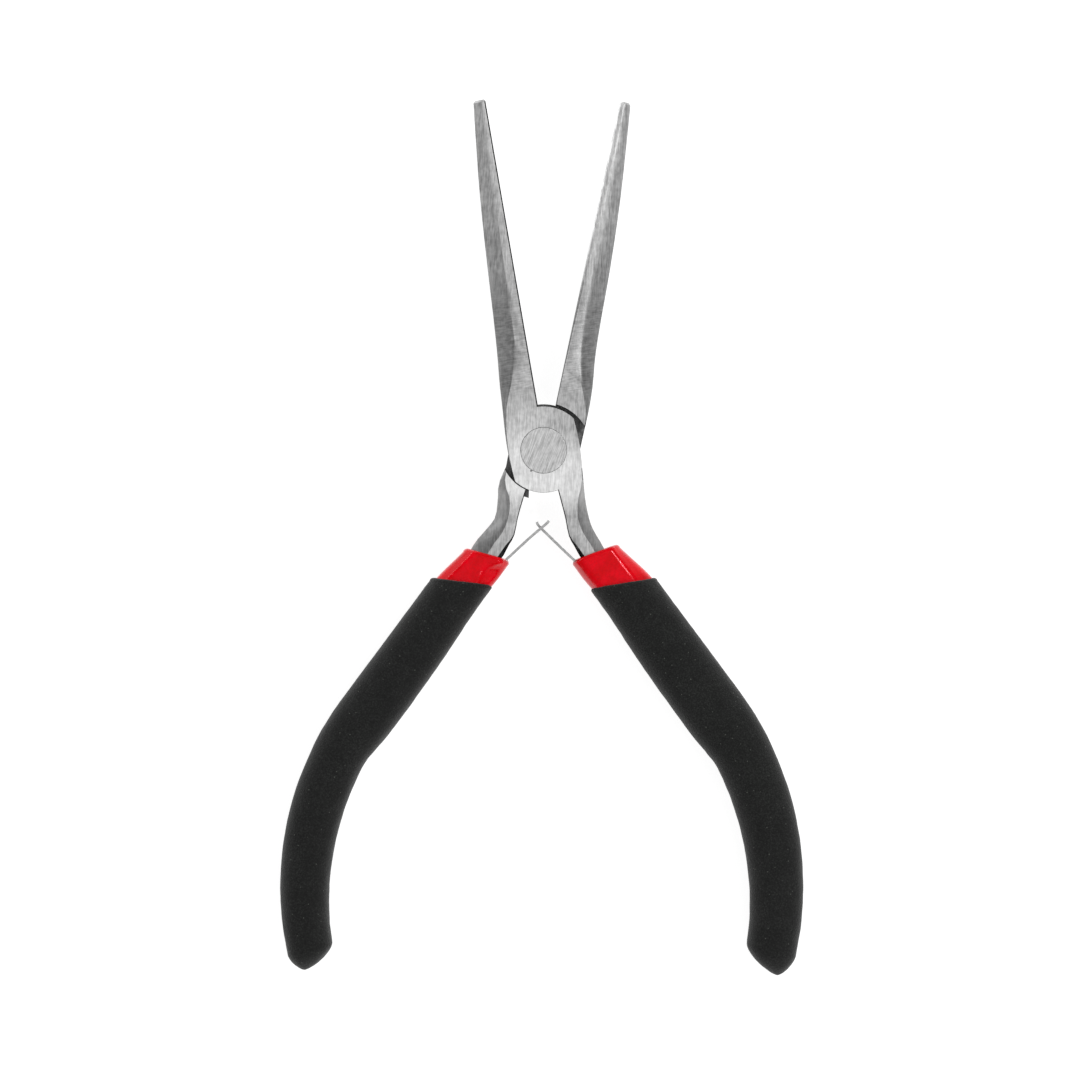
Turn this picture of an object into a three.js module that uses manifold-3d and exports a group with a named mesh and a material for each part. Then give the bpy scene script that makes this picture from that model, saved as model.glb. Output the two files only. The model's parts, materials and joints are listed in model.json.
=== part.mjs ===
// Long-nose pliers for jewellery work, in millimetres and degrees.
//
// The pliers lie open, as their leaf springs hold them. +X is right, +Y runs from the pivot to the jaw
// tips and +Z comes out of the front plate. The origin is on the pivot axis, at the joint's back face.
// The front half has the left jaw, the front lap plate and the right handle. The back half has the right
// jaw, the back lap plate and the left handle. Every piece is made about the lap plane, Z = 0, and the
// whole is then lifted by half the joint's thickness.

import * as THREE from 'three';
import { LoftGeometry } from 'three/addons/geometries/LoftGeometry.js';
import { mergeVertices } from 'three/addons/utils/BufferGeometryUtils.js';
import Module from 'manifold-3d';

// Joint
const JOINT_THICKNESS = 7;
const LAP_GAP = 0.1;
const FRONT_PLATE_TOP_RADIUS = 7.35;
const BACK_PLATE_TOP_RADIUS = 7.8;
const PLATE_BOTTOM_RADIUS = 7.05;
const SHOULDER_TOP_RADIUS = 8;
const SHOULDER_BOTTOM_RADIUS = 7.25;
const BAND_REACH = 9;
const FRONT_BAND = { left: 5.8, leftEnd: 4.8, right: 6.1, rightEnd: 5.1 };
const BACK_BAND = { left: 5.7, leftEnd: 5.3, right: 5.92, rightEnd: 5.6 };
const FRONT_OPENING = 9.75;
const BACK_OPENING = -11.95;

// Pivot rivet
const RIVET_HEAD_RADIUS = 3.85;
const RIVET_SHANK_RADIUS = 2.6;
const RIVET_LIP = 0.3;
const RIVET_CONE = 1.0;
const RIVET_GAP = 0.04;
const ROUND_STEPS = 56;

// Jaws: the gripping faces meet on a plane that passes beside the pivot axis
const PARTING_OFFSET = 0.36;
const FACE_GAP = 0.04;

// Handles: both lie about a plane that is a little left of the pivot axis
const HANDLE_MIDDLE = -0.35;
const GRIP_TOP_Y = -23;
const GRIP_LEAN = 36.6;
const CORE_WIDTH = 4.2;

// Leaf springs
const LEAF_THICKNESS = 0.45;
const LEAF_WIDTH = 3.8;
const SLOT_WIDTH = 2.1;
const TONGUE_WIDTH = 1.6;
const TONGUE_HEAD_WIDTH = 3;

// Spring rivets
const SPRING_RIVET_RADIUS = 0.65;
const SPRING_RIVET_HEAD_RADIUS = 1.1;
const SPRING_RIVET_HEAD = 0.4;
const SPRING_RIVET_DEPTH = 2;
const SPRING_RIVET_GAP = 0.04;
const SPRING_RIVET_STEPS = 24;

const HALF = JOINT_THICKNESS / 2;
const WELD_DISTANCE = 1e-4;

// A cut that goes through a face ends this far from the lap plane
const CLEAR_OF_FACES = HALF + 1;

const STEEL_LOOK = { color: 0xb4b4b4, roughness: 0.35, metalness: 1 };
const steel = (name) => new THREE.MeshStandardMaterial({ name, ...STEEL_LOOK });
const vinyl = () => new THREE.MeshStandardMaterial({ name: 'red_vinyl', color: 0xd70014, roughness: 0.25 });
const foam = () => new THREE.MeshStandardMaterial({ name: 'black_foam', color: 0x242524, roughness: 0.95 });

const wasm = await Module();
wasm.setup();

// ---------------------------------------------------------------- solids

// Drops triangles that have shrunk to a line, which the middle of a revolved profile leaves behind.
function soundTriangles(index) {
  const kept = [];
  for (let i = 0; i < index.length; i += 3) {
    const [a, b, c] = [index[i], index[i + 1], index[i + 2]];
    if (a !== b && b !== c && c !== a) kept.push(a, b, c);
  }
  return kept;
}

function signedVolume(points, triangles) {
  const corner = (i) => new THREE.Vector3().fromArray(points, 3 * i);
  let sum = 0;
  for (let i = 0; i < triangles.length; i += 3) {
    const [a, b, c] = [corner(triangles[i]), corner(triangles[i + 1]), corner(triangles[i + 2])];
    sum += a.dot(b.cross(c));
  }
  return sum / 6;
}

// A closed geometry as a solid for booleans, with its faces turned out.
function solid(geometry) {
  const bare = new THREE.BufferGeometry().copy(geometry);
  bare.deleteAttribute('normal');
  bare.deleteAttribute('uv');
  const merged = mergeVertices(bare, WELD_DISTANCE);
  const points = merged.getAttribute('position').array;
  const triangles = soundTriangles(merged.index.array);
  if (signedVolume(points, triangles) < 0) triangles.reverse();
  const mesh = new wasm.Mesh({
    numProp: 3,
    vertProperties: new Float32Array(points),
    triVerts: new Uint32Array(triangles),
  });
  return new wasm.Manifold(mesh);
}

function namedMesh(name, body, material) {
  const result = body.getMesh();
  const geometry = new THREE.BufferGeometry();
  geometry.setAttribute('position', new THREE.BufferAttribute(new Float32Array(result.vertProperties), 3));
  geometry.setIndex([...result.triVerts]);
  geometry.computeVertexNormals();
  const mesh = new THREE.Mesh(geometry, material);
  mesh.name = name;
  return mesh;
}

function slab(shape, low, high, turn = 0) {
  const options = { depth: high - low, bevelEnabled: false, curveSegments: 24 };
  const geometry = new THREE.ExtrudeGeometry(shape, options);
  geometry.translate(0, 0, low);
  geometry.rotateZ(THREE.MathUtils.degToRad(turn));
  return solid(geometry);
}

function revolved(profile, steps) {
  const points = profile.map(([radius, height]) => new THREE.Vector2(radius, height));
  return new THREE.LatheGeometry(points, steps);
}

// ---------------------------------------------------------------- cross-sections and lofts

// A smooth reading of a table whose first column is the station and whose other columns are its sizes.
function smoothTable(rows) {
  const stations = rows.map((row) => row[0]);
  const sizes = rows.flatMap((row) => row.slice(1));
  const curve = new THREE.CubicInterpolant(stations, sizes, rows[0].length - 1);
  return (station) => [...curve.evaluate(station)];
}

function stationsBetween(first, last, count) {
  return Array.from({ length: count + 1 }, (_, i) => first + (last - first) * (i / count));
}

// Places (across, height) points on the line from an inner edge point to an outer one.
function placed(profile, inner, outer) {
  return profile.map(([across, height]) => {
    const spot = inner.clone().lerp(outer, across);
    return new THREE.Vector3(spot.x, spot.y, height);
  });
}

// Half of a ground steel section, from its inner face to its outer edge: a rounded corner, a flat crown
// out to the ridge, and a flank that falls to the outer edge, straight at bulge 1 and rounder above it.
function steelProfile({ width, crown, edge, ridge, corner, bulge }) {
  const cornerSteps = 2;
  const flankSteps = 5;
  const top = Math.min(crown, HALF);
  const half = [];
  for (let i = 0; i <= cornerSteps; i += 1) {
    const angle = (i / cornerSteps) * (Math.PI / 2);
    half.push([(corner / width) * (1 - Math.cos(angle)), top - corner * (1 - Math.sin(angle))]);
  }
  for (let i = 0; i <= flankSteps; i += 1) {
    const along = i / flankSteps;
    half.push([ridge + (1 - ridge) * along, edge + (top - edge) * (1 - along ** bulge)]);
  }
  return mirroredDown(half);
}

function mirroredDown(half) {
  const lower = half.map(([across, height]) => [across, -height]).reverse();
  return [...half, ...lower];
}

// A soft rounded rectangle, fuller than an ellipse.
function softProfile(halfHeight, fullness) {
  const power = 2 / fullness;
  const rounded = (value) => Math.sign(value) * Math.abs(value) ** power;
  return Array.from({ length: SOFT_STEPS }, (_, i) => {
    const angle = ((i + 0.5) / SOFT_STEPS) * 2 * Math.PI;
    return [(1 - rounded(Math.cos(angle))) / 2, halfHeight * rounded(Math.sin(angle))];
  });
}

// A closed skin through the sections, each end closed on the middle of its section.
function loftGeometry(sections) {
  const closing = (section) => {
    const middle = new THREE.Vector3();
    for (const corner of section) middle.addScaledVector(corner, 1 / section.length);
    return section.map(() => middle);
  };
  const first = closing(sections[0]);
  const last = closing(sections[sections.length - 1]);
  return new LoftGeometry([first, ...sections, last]);
}

function loft(sections) {
  return solid(loftGeometry(sections));
}

// ---------------------------------------------------------------- lap joint

function twoRadiusDisc(topRadius, bottomRadius) {
  const shape = new THREE.Shape();
  shape.absarc(0, 0, topRadius, 0, Math.PI, false);
  shape.absarc(0, 0, bottomRadius, Math.PI, 2 * Math.PI, false);
  shape.closePath();
  return shape;
}

// A plate's two bowed sides: half widths at the pivot and at the band's ends.
function bandShape({ left, leftEnd, right, rightEnd }) {
  const shape = new THREE.Shape();
  shape.moveTo(rightEnd, -BAND_REACH);
  shape.quadraticCurveTo(2 * right - rightEnd, 0, rightEnd, BAND_REACH);
  shape.lineTo(-leftEnd, BAND_REACH);
  shape.quadraticCurveTo(leftEnd - 2 * left, 0, -leftEnd, -BAND_REACH);
  shape.closePath();
  return shape;
}

// The plate that laps over the other half, before the lap is cut.
function plate({ topRadius, band }, turn) {
  const disc = slab(twoRadiusDisc(topRadius, PLATE_BOTTOM_RADIUS), -HALF, HALF, turn);
  return disc.intersect(slab(bandShape(band), -HALF, HALF, turn));
}

// A small step that the lap cut leaves on the left tang's inner side, under the lap plane.
function tangStep() {
  const shape = new THREE.Shape();
  shape.moveTo(-3.3, -6.2);
  shape.lineTo(-2.45, -6.5);
  shape.lineTo(-2.5, -7.95);
  shape.lineTo(-3.3, -7.7);
  shape.closePath();
  return slab(shape, -HALF, -LAP_GAP / 2);
}

// The room that one half leaves for the other half's plate. side is +1 above the lap plane.
function lapRoom(turn, side) {
  const shape = twoRadiusDisc(SHOULDER_TOP_RADIUS, SHOULDER_BOTTOM_RADIUS);
  const faces = [-side * (LAP_GAP / 2), side * CLEAR_OF_FACES];
  return slab(shape, Math.min(...faces), Math.max(...faces), turn);
}

// The rivet's outline grown by a gap, so that the same function cuts its seat in the plates.
function rivetProfile(gap, end) {
  const head = RIVET_HEAD_RADIUS + gap;
  const shank = RIVET_SHANK_RADIUS + gap;
  const lip = HALF - RIVET_LIP;
  const cone = lip - RIVET_CONE;
  const lower = [[0, -end], [head, -end], [head, -lip], [shank, -cone]];
  const upper = lower.map(([radius, height]) => [radius, -height]).reverse();
  return revolved([...lower, ...upper], ROUND_STEPS);
}

function rivetSolid(gap, end) {
  return solid(rivetProfile(gap, end).rotateX(Math.PI / 2));
}

// ---------------------------------------------------------------- jaws

// Each row: distance from the pivot along the closed jaw, width from the parting plane, half thickness,
// half height of the outer edge, ridge as a share of the width, radius of the gripping face's edges.
const FRONT_JAW = smoothTable([
  [-2, 6.12, 3.5, 3.4, 0.985, 0.22],
  [0, 6.31, 3.5, 3.35, 0.97, 0.22],
  [4, 6.24, 3.5, 3.2, 0.945, 0.22],
  [8, 5.98, 3.5, 2.95, 0.89, 0.22],
  [12, 5.76, 3.46, 2.2, 0.65, 0.22],
  [17, 5.32, 3.2, 1.2, 0.42, 0.22],
  [22, 4.97, 2.9, 0.85, 0.38, 0.22],
  [32, 4.44, 2.35, 0.62, 0.36, 0.22],
  [44, 3.66, 1.75, 0.45, 0.33, 0.22],
  [54, 2.7, 1.25, 0.35, 0.33, 0.22],
  [59.5, 2.1, 1.0, 0.3, 0.34, 0.22],
]);
const BACK_JAW = smoothTable([
  [-2, 5.56, 3.5, 3.4, 0.985, 0.15],
  [0, 5.6, 3.5, 3.3, 0.97, 0.15],
  [4, 5.64, 3.5, 3.3, 0.97, 0.15],
  [8, 5.68, 3.5, 3.0, 0.92, 0.15],
  [12, 5.5, 3.46, 2.0, 0.65, 0.15],
  [17, 4.9, 3.2, 1.1, 0.45, 0.2],
  [22, 4.6, 2.9, 0.8, 0.35, 0.25],
  [32, 4.28, 2.35, 0.6, 0.27, 0.5],
  [44, 3.53, 1.75, 0.45, 0.32, 0.8],
  [54, 2.55, 1.25, 0.35, 0.42, 0.85],
  [60, 1.9, 1.0, 0.3, 0.48, 0.75],
]);

// A jaw's profile changes fastest between its root and its shoulder.
const JAW_ROOT = -2;
const JAW_SHOULDER = 20;
const JAW_NEXT = 24;
const TIP_ROUNDING = 0.35;
const THINNEST_EDGE = 0.05;
const TIP_NARROWING = 1.5;
const LARGEST_CORNER = 0.8;
const JAW_STEPS = { root: 11, blade: 9 };

// A jaw of the closed pliers, on the left for side -1 and on the right for side +1, turned to its opening.
function jaw({ table, side, length, bulge, turn }) {
  const sectionAt = (station, shrink = 0) => {
    const [width, crown, edge, ridge, corner] = table(Math.min(station, length));
    const small = {
      width: width - shrink * TIP_NARROWING,
      crown: crown - shrink,
      edge: Math.max(edge - shrink, THINNEST_EDGE),
      ridge,
      corner: Math.min(corner, (crown - shrink) * LARGEST_CORNER),
      bulge,
    };
    const inner = new THREE.Vector2(PARTING_OFFSET + side * (FACE_GAP + shrink / 2), station);
    const outer = new THREE.Vector2(PARTING_OFFSET + side * (width - shrink), station);
    return placed(steelProfile(small), inner, outer);
  };
  const stations = [
    ...stationsBetween(JAW_ROOT, JAW_SHOULDER, JAW_STEPS.root),
    ...stationsBetween(JAW_NEXT, length, JAW_STEPS.blade),
  ];
  const sections = stations.map((station) => sectionAt(station));
  sections.push(sectionAt(length + TIP_ROUNDING, TIP_ROUNDING));
  return solid(loftGeometry(sections).rotateZ(THREE.MathUtils.degToRad(turn)));
}

// ---------------------------------------------------------------- handles

// A handle's own frame has its inner side towards X = 0; side is +1 on the right and -1 on the left.
function onSide(side, point) {
  return new THREE.Vector2(HANDLE_MIDDLE + side * point.x, point.y);
}

// The grip's outer edge runs straight, then bows inwards on one arc. A grip point is given by its
// distance along that edge and its depth under it.
function gripPoint(grip, along, depth) {
  const lean = THREE.MathUtils.degToRad(GRIP_LEAN);
  const straight = Math.min(along, grip.straight);
  const bend = Math.max(along - grip.straight, 0) / grip.bow;
  const angle = lean - bend;
  const edgeX = grip.topX + Math.sin(lean) * straight + grip.bow * (Math.cos(angle) - Math.cos(lean));
  const edgeY = GRIP_TOP_Y - Math.cos(lean) * straight - grip.bow * (Math.sin(lean) - Math.sin(angle));
  return new THREE.Vector2(edgeX - Math.cos(angle) * depth, edgeY - Math.sin(angle) * depth);
}

function gripWidth(grip, along) {
  return grip.fullWidth * GRIP_WIDTH(along)[0];
}

// Two points either side of the grip's middle line, a width apart.
function gripPair(grip, along, width) {
  const middle = gripWidth(grip, Math.max(along, 0)) / 2;
  return [gripPoint(grip, along, middle + width / 2), gripPoint(grip, along, middle - width / 2)];
}

// Each row: distance along the outer edge, width as a share of the grip's full width.
const GRIP_WIDTH = smoothTable([
  [-8, 0.92], [0, 0.935], [6, 0.97], [18, 1], [24, 0.995], [28, 0.955], [32, 0.91],
  [42, 0.895], [54, 0.85], [66, 0.795], [78, 0.75],
]);

const RIGHT_GRIP = { topX: 20.34, straight: 21.4, bow: 55.5, fullWidth: 10.85 };
const LEFT_GRIP = { topX: 19.64, straight: 23.1, bow: 53.4, fullWidth: 9.9 };

// A foam end's depth, and its lowest point as a share of the width from the inner edge.
const HANDLES = {
  right: {
    side: 1,
    grip: RIGHT_GRIP,
    tang: [
      { inner: [2.2, -1], outer: [6.62, -1], crown: 3.5, edge: 3.3, ridge: 0.97, corner: 0.15 },
      { inner: [2.55, -5.4], outer: [7.08, -5.4], crown: 3.5, edge: 3.1, ridge: 0.93, corner: 0.15 },
      { inner: [3.2, -8.2], outer: [7.38, -8.3], crown: 3.45, edge: 1.7, ridge: 0.7, corner: 0.15 },
      { inner: [4.0, -11.3], outer: [7.95, -11.2], crown: 3.3, edge: 1.3, ridge: 0.53, corner: 0.15 },
      { inner: [4.62, -14.36], outer: [8.65, -13.2], crown: 3.15, edge: 1.3, ridge: 0.57, corner: 0.15 },
      { inner: [5.6, -16.2], outer: [10.0, -15.5], crown: 3.0, edge: 1.3, ridge: 0.6, corner: 0.5 },
      { inner: [6.75, -18.2], outer: [11.15, -17.5], crown: 2.9, edge: 1.4, ridge: 0.62, corner: 0.75 },
      { inner: [9.3, -21.3], outer: [12.6, -18.6], crown: 2.7, edge: 1.8, ridge: 0.75, corner: 0.6 },
    ],
    mouth: { inner: [5.3, -19.25], outer: [13.25, -16.3], flareInner: [8.2, -23], flareDepth: 0.4 },
    foamEnd: { depth: 3.85, lowest: 0.74 },
  },
  left: {
    side: -1,
    grip: LEFT_GRIP,
    tang: [
      { inner: [2.2, -1], outer: [5.2, -1], crown: 3.5, edge: 3.3, ridge: 0.97, corner: 0.15 },
      { inner: [2.3, -5.4], outer: [7.1, -5.4], crown: 3.5, edge: 2.9, ridge: 0.8, corner: 0.15 },
      { inner: [3.1, -8.2], outer: [7.35, -8.3], crown: 3.45, edge: 1.6, ridge: 0.52, corner: 0.15 },
      { inner: [3.95, -11.2], outer: [7.78, -11.2], crown: 3.3, edge: 1.2, ridge: 0.42, corner: 0.15 },
      { inner: [4.56, -14.2], outer: [9.15, -13.1], crown: 3.15, edge: 1.2, ridge: 0.43, corner: 0.15 },
      { inner: [5.6, -16.1], outer: [10.9, -15.1], crown: 3.0, edge: 1.2, ridge: 0.45, corner: 0.5 },
      { inner: [6.7, -18.1], outer: [12.1, -17.0], crown: 2.9, edge: 1.3, ridge: 0.47, corner: 0.75 },
      { inner: [9.3, -21.3], outer: [12.9, -18.5], crown: 2.7, edge: 1.7, ridge: 0.65, corner: 0.6 },
    ],
    mouth: { inner: [5.5, -19.15], outer: [13.2, -17.0], flareInner: [8.45, -23], flareDepth: 0.6 },
    foamEnd: { depth: 3.2, lowest: 0.72 },
  },
};

const CORE_STATIONS = [1, 8, 16, 24, 32, 40, 48, 56];
const CORE_SECTION = { crown: 2.5, edge: 2.1, ridge: 0.85, corner: 0.4 };
const TANG_BULGE = 1.2;
const TANG_STEPS = 18;
const TANG_ROOM_STEPS = 4;

// The forged tang and the straight core that it becomes inside the grip, as one row of stations.
// grow makes the same shape larger all round, for the room inside the sleeve.
function tangStations(handle, grow = 0) {
  const rows = handle.tang.map((station) => ({
    ...station,
    inner: new THREE.Vector2(...station.inner),
    outer: new THREE.Vector2(...station.outer),
  }));
  for (const along of CORE_STATIONS) {
    const [inner, outer] = gripPair(handle.grip, along, CORE_WIDTH);
    rows.push({ inner, outer, ...CORE_SECTION });
  }
  return rows.map((row) => {
    const across = row.outer.clone().sub(row.inner).normalize().multiplyScalar(grow);
    return {
      ...row,
      inner: row.inner.clone().sub(across),
      outer: row.outer.clone().add(across),
      crown: row.crown + grow,
      edge: row.edge + grow,
    };
  });
}

function tangTable(handle, grow) {
  const rows = tangStations(handle, grow);
  return smoothTable(rows.map(({ inner, outer, crown, edge, ridge, corner }, i) => [
    i, inner.x, inner.y, outer.x, outer.y, crown, edge, ridge, corner,
  ]));
}

function tangSection(handle, table, station) {
  const [innerX, innerY, outerX, outerY, crown, edge, ridge, corner] = table(station);
  const inner = new THREE.Vector2(innerX, innerY);
  const outer = new THREE.Vector2(outerX, outerY);
  const width = inner.distanceTo(outer);
  const profile = steelProfile({ width, crown, edge, ridge, corner, bulge: TANG_BULGE });
  return placed(profile, onSide(handle.side, inner), onSide(handle.side, outer));
}

// A tang from its first row on, count steps over the forged part and one to each row of the core.
function tangLoft(handle, { grow, first, count }) {
  const table = tangTable(handle, grow);
  const core = handle.tang.length;
  const last = core + CORE_STATIONS.length - 1;
  const forged = stationsBetween(first, core, count);
  const straight = stationsBetween(core + 1, last, last - core - 1);
  return loft([...forged, ...straight].map((station) => tangSection(handle, table, station)));
}

function tang(handle) {
  return tangLoft(handle, { grow: 0, first: 0, count: TANG_STEPS });
}

// ---------------------------------------------------------------- sleeves and grips

// A soft solid through rows of [inner point, outer point, half height].
function softLoft(handle, rows, fullness) {
  return loft(rows.map(([inner, outer, halfHeight]) => {
    const profile = softProfile(halfHeight, fullness);
    return placed(profile, onSide(handle.side, inner), onSide(handle.side, outer));
  }));
}

function point(pair) {
  return new THREE.Vector2(...pair);
}

// Shrinks a row towards its middle, for a rounded rim or end.
function drawnIn([inner, outer, halfHeight], amount) {
  const across = outer.clone().sub(inner).normalize().multiplyScalar(amount);
  return [inner.clone().add(across), outer.clone().sub(across), halfHeight - amount];
}

function shifted([inner, outer, halfHeight], x, y) {
  const move = new THREE.Vector2(x, y);
  return [inner.clone().add(move), outer.clone().add(move), halfHeight];
}

const SLEEVE_IN_FOAM_WIDTH = 6.6;
const SLEEVE_IN_FOAM_HALF_HEIGHT = 3.6;
const SLEEVE_STATIONS = [3, 9, 16, 24, 32, 40, 48, 56, 61.5];
const MOUTH_HALF_HEIGHT = 4;
const MOUTH_ROW = 5;
const FLARE_END = -1.6;
const TANG_GAP = 0.12;
const FOAM_WALL_GAP = 0.15;
const SOFT_STEPS = 20;
const SLEEVE_RIM = { draw: 0.45, move: [-0.12, 0.35] };
const SLEEVE_END = { draw: 1, move: [-0.1, -0.8] };
const FOAM_RIM = { draw: 0.6, move: [-0.3, 0.35] };
const ROOM_ABOVE = { draw: 0, move: [-1.4, 1.7] };
const ROOM_BELOW = { draw: 0, move: [-0.1, -1] };
const SLEEVE_FULLNESS = 3;
const FOAM_FULLNESS = 2.5;

// A further row past a loft's first or last one.
function past(row, { draw, move }) {
  return shifted(drawnIn(row, draw), ...move);
}

// The sleeve's outer rows: its flared mouth, the foam's rim, then the slimmer part under the foam.
function sleeveRows(handle, grow) {
  const { grip, mouth } = handle;
  const rows = [
    [point(mouth.inner), point(mouth.outer), MOUTH_HALF_HEIGHT],
    [point(mouth.flareInner), gripPoint(grip, FLARE_END, mouth.flareDepth), MOUTH_HALF_HEIGHT],
  ];
  for (const along of SLEEVE_STATIONS) {
    rows.push([...gripPair(grip, along, SLEEVE_IN_FOAM_WIDTH), SLEEVE_IN_FOAM_HALF_HEIGHT]);
  }
  return rows.map((row) => drawnIn(row, -grow));
}

// The room in the sleeve for the tang, and beside the tang for the leaf spring and its rivet.
function sleeveRoom(handle) {
  const tangRoom = tangLoft(handle, { grow: TANG_GAP, first: MOUTH_ROW, count: TANG_ROOM_STEPS });
  return tangRoom.add(leafRoom(handle));
}

function sleeve(handle) {
  const rows = sleeveRows(handle, 0);
  const rim = past(rows[0], SLEEVE_RIM);
  const end = past(rows[rows.length - 1], SLEEVE_END);
  const body = softLoft(handle, [rim, ...rows, end], SLEEVE_FULLNESS);
  return body.subtract(sleeveRoom(handle));
}

// Each row: inner edge's distance along the grip, outer edge's distance, half height.
const FOAM_STATIONS = [
  [-6.6, -1.4, 5.2], [-4, 0.4, 5.35], [0, 3, 5.5], [5, 6.5, 5.6], [10, 10, 5.7],
  [18, 18, 5.7], [24, 24, 5.6], [28, 28, 5.4], [32, 32, 5.25], [40, 40, 5.2],
  [48, 48, 5.1], [56, 56, 5.0], [63, 63, 4.9], [68.2, 68.8, 4.75],
];
const FOAM_END_POWER = 1.5;
const FOAM_END_STEPS = 5;

// Rows past the grip's last one, drawn in to the lowest point on a curve between a circle and a chamfer.
function foamEndRows([inner, outer, halfHeight], { depth, lowest }) {
  const across = outer.clone().sub(inner);
  const down = new THREE.Vector2(across.y, -across.x).normalize();
  const rows = [];
  for (let i = 1; i < FOAM_END_STEPS; i += 1) {
    const turn = (i / FOAM_END_STEPS) * (Math.PI / 2);
    const drawn = 1 - Math.cos(turn) ** (2 / FOAM_END_POWER);
    const sunk = depth * Math.sin(turn) ** (2 / FOAM_END_POWER);
    rows.push([
      inner.clone().addScaledVector(across, lowest * drawn).addScaledVector(down, sunk),
      outer.clone().addScaledVector(across, (lowest - 1) * drawn).addScaledVector(down, sunk),
      halfHeight * Math.cos(turn),
    ]);
  }
  return rows;
}

function foamGrip(handle) {
  const { grip, side, foamEnd } = handle;
  const rows = FOAM_STATIONS.map(([innerAlong, outerAlong, halfHeight]) => {
    const inner = gripPoint(grip, innerAlong, gripWidth(grip, innerAlong));
    return [inner, gripPoint(grip, outerAlong, 0), halfHeight];
  });
  const rim = past(rows[0], FOAM_RIM);
  const ends = foamEndRows(rows[rows.length - 1], foamEnd);
  const body = softLoft({ side }, [rim, ...rows, ...ends], FOAM_FULLNESS);
  const room = sleeveRows(handle, FOAM_WALL_GAP);
  const above = past(room[1], ROOM_ABOVE);
  const below = past(room[room.length - 1], ROOM_BELOW);
  return body.subtract(softLoft(handle, [above, ...room.slice(1), below], SLEEVE_FULLNESS));
}

// ---------------------------------------------------------------- leaf springs

// A leaf's middle line from its riveted root to its tip, in the handle's frame. The root lies on the
// tang's inner face, the free part runs straight, and the tip ends in a small lip.
const LEAF_ROOT = [[10.45, -23.1], [8.1, -20.35]];
const LEAF_FREE = {
  right: [[5.62, -18.52], [1.5, -14.6], [-0.42, -12.68], [-0.78, -12.0]],
  left: [[5.86, -18.28], [1.84, -14.56], [-0.72, -12.4], [-1.25, -11.8]],
};
const CROSSING = new THREE.Vector3(-0.27, -13.1, 0);
const LEAF_LEAN = 46.5;
const SLOT_REACH = [-2.2, 0.95];
const TONGUE_REACH = [-2.4, 0.75];

function leafLine(side) {
  return new THREE.SplineCurve([...LEAF_ROOT, ...LEAF_FREE[side]].map((pair) => point(pair)));
}

function leafShape(line, handle, halfThickness) {
  const steps = 30;
  const near = [];
  const far = [];
  for (let i = 0; i <= steps; i += 1) {
    const spot = line.getPoint(i / steps);
    const along = line.getTangent(i / steps);
    const across = new THREE.Vector2(-along.y, along.x).multiplyScalar(halfThickness);
    near.push(onSide(handle.side, spot.clone().add(across)));
    far.push(onSide(handle.side, spot.clone().sub(across)));
  }
  return new THREE.Shape([...near, ...far.reverse()]);
}

// A box about a leaf's crossing point: reach is its extent along the leaf, low to high its extent in Z.
function crossingBox(handle, reach, low, high) {
  const thick = 1.6;
  const box = new THREE.BoxGeometry(thick, reach[1] - reach[0], high - low);
  box.translate(0, (reach[0] + reach[1]) / 2, (low + high) / 2);
  box.rotateZ(THREE.MathUtils.degToRad(handle.side * LEAF_LEAN));
  box.translate(CROSSING.x, CROSSING.y, CROSSING.z);
  return solid(box);
}

// The left leaf is slotted at the crossing. The right leaf narrows to a tongue that passes through the
// slot and ends in a wider head.
function leafSolid(side) {
  const handle = HANDLES[side];
  const shape = leafShape(leafLine(side), handle, LEAF_THICKNESS / 2);
  const uncut = slab(shape, -LEAF_WIDTH / 2, LEAF_WIDTH / 2);
  const strip = uncut.subtract(springRivetSolid(handle, SPRING_RIVET_GAP));
  if (side === 'left') {
    const slot = crossingBox(handle, SLOT_REACH, -SLOT_WIDTH / 2, SLOT_WIDTH / 2);
    return strip.subtract(slot);
  }
  const pastTip = 4;
  const trims = [[TONGUE_REACH, TONGUE_WIDTH / 2], [[TONGUE_REACH[1], pastTip], TONGUE_HEAD_WIDTH / 2]];
  return trims.reduce((leaf, [reach, edge]) => leaf
    .subtract(crossingBox(handle, reach, edge, LEAF_WIDTH))
    .subtract(crossingBox(handle, reach, -LEAF_WIDTH, -edge)), strip);
}

// ---------------------------------------------------------------- spring rivets

const SPRING_RIVET_SPOT = [9.55, -21.6];
const SPRING_RIVET_TURN = 49.1;
const LEAF_FAR_FACE = 0.57;
const RIVET_HEAD_ROOM = 0.15;

// The rivet's axis starts on the tang's inner face: its shank goes into the tang, its head holds the leaf.
function springRivetSolid(handle, gap) {
  const shank = SPRING_RIVET_RADIUS + gap;
  const head = SPRING_RIVET_HEAD_RADIUS + gap;
  const under = -LEAF_FAR_FACE;
  const top = under - SPRING_RIVET_HEAD - gap;
  const end = SPRING_RIVET_DEPTH + gap;
  const profile = [[0, top], [head, top], [head, under], [shank, under], [shank, end], [0, end]];
  const geometry = revolved(profile, SPRING_RIVET_STEPS);
  geometry.rotateZ(THREE.MathUtils.degToRad(-handle.side * SPRING_RIVET_TURN));
  const spot = onSide(handle.side, point(SPRING_RIVET_SPOT));
  return solid(geometry.translate(spot.x, spot.y, 0));
}

// The room that the sleeve leaves for the leaf's root and for the rivet's head.
function leafRoom(handle) {
  const side = handle.side > 0 ? 'right' : 'left';
  const grown = leafShape(leafLine(side), handle, LEAF_THICKNESS / 2 + TANG_GAP);
  const edge = LEAF_WIDTH / 2 + TANG_GAP;
  return slab(grown, -edge, edge).add(springRivetSolid(handle, RIVET_HEAD_ROOM));
}

// ---------------------------------------------------------------- assembly

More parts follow.
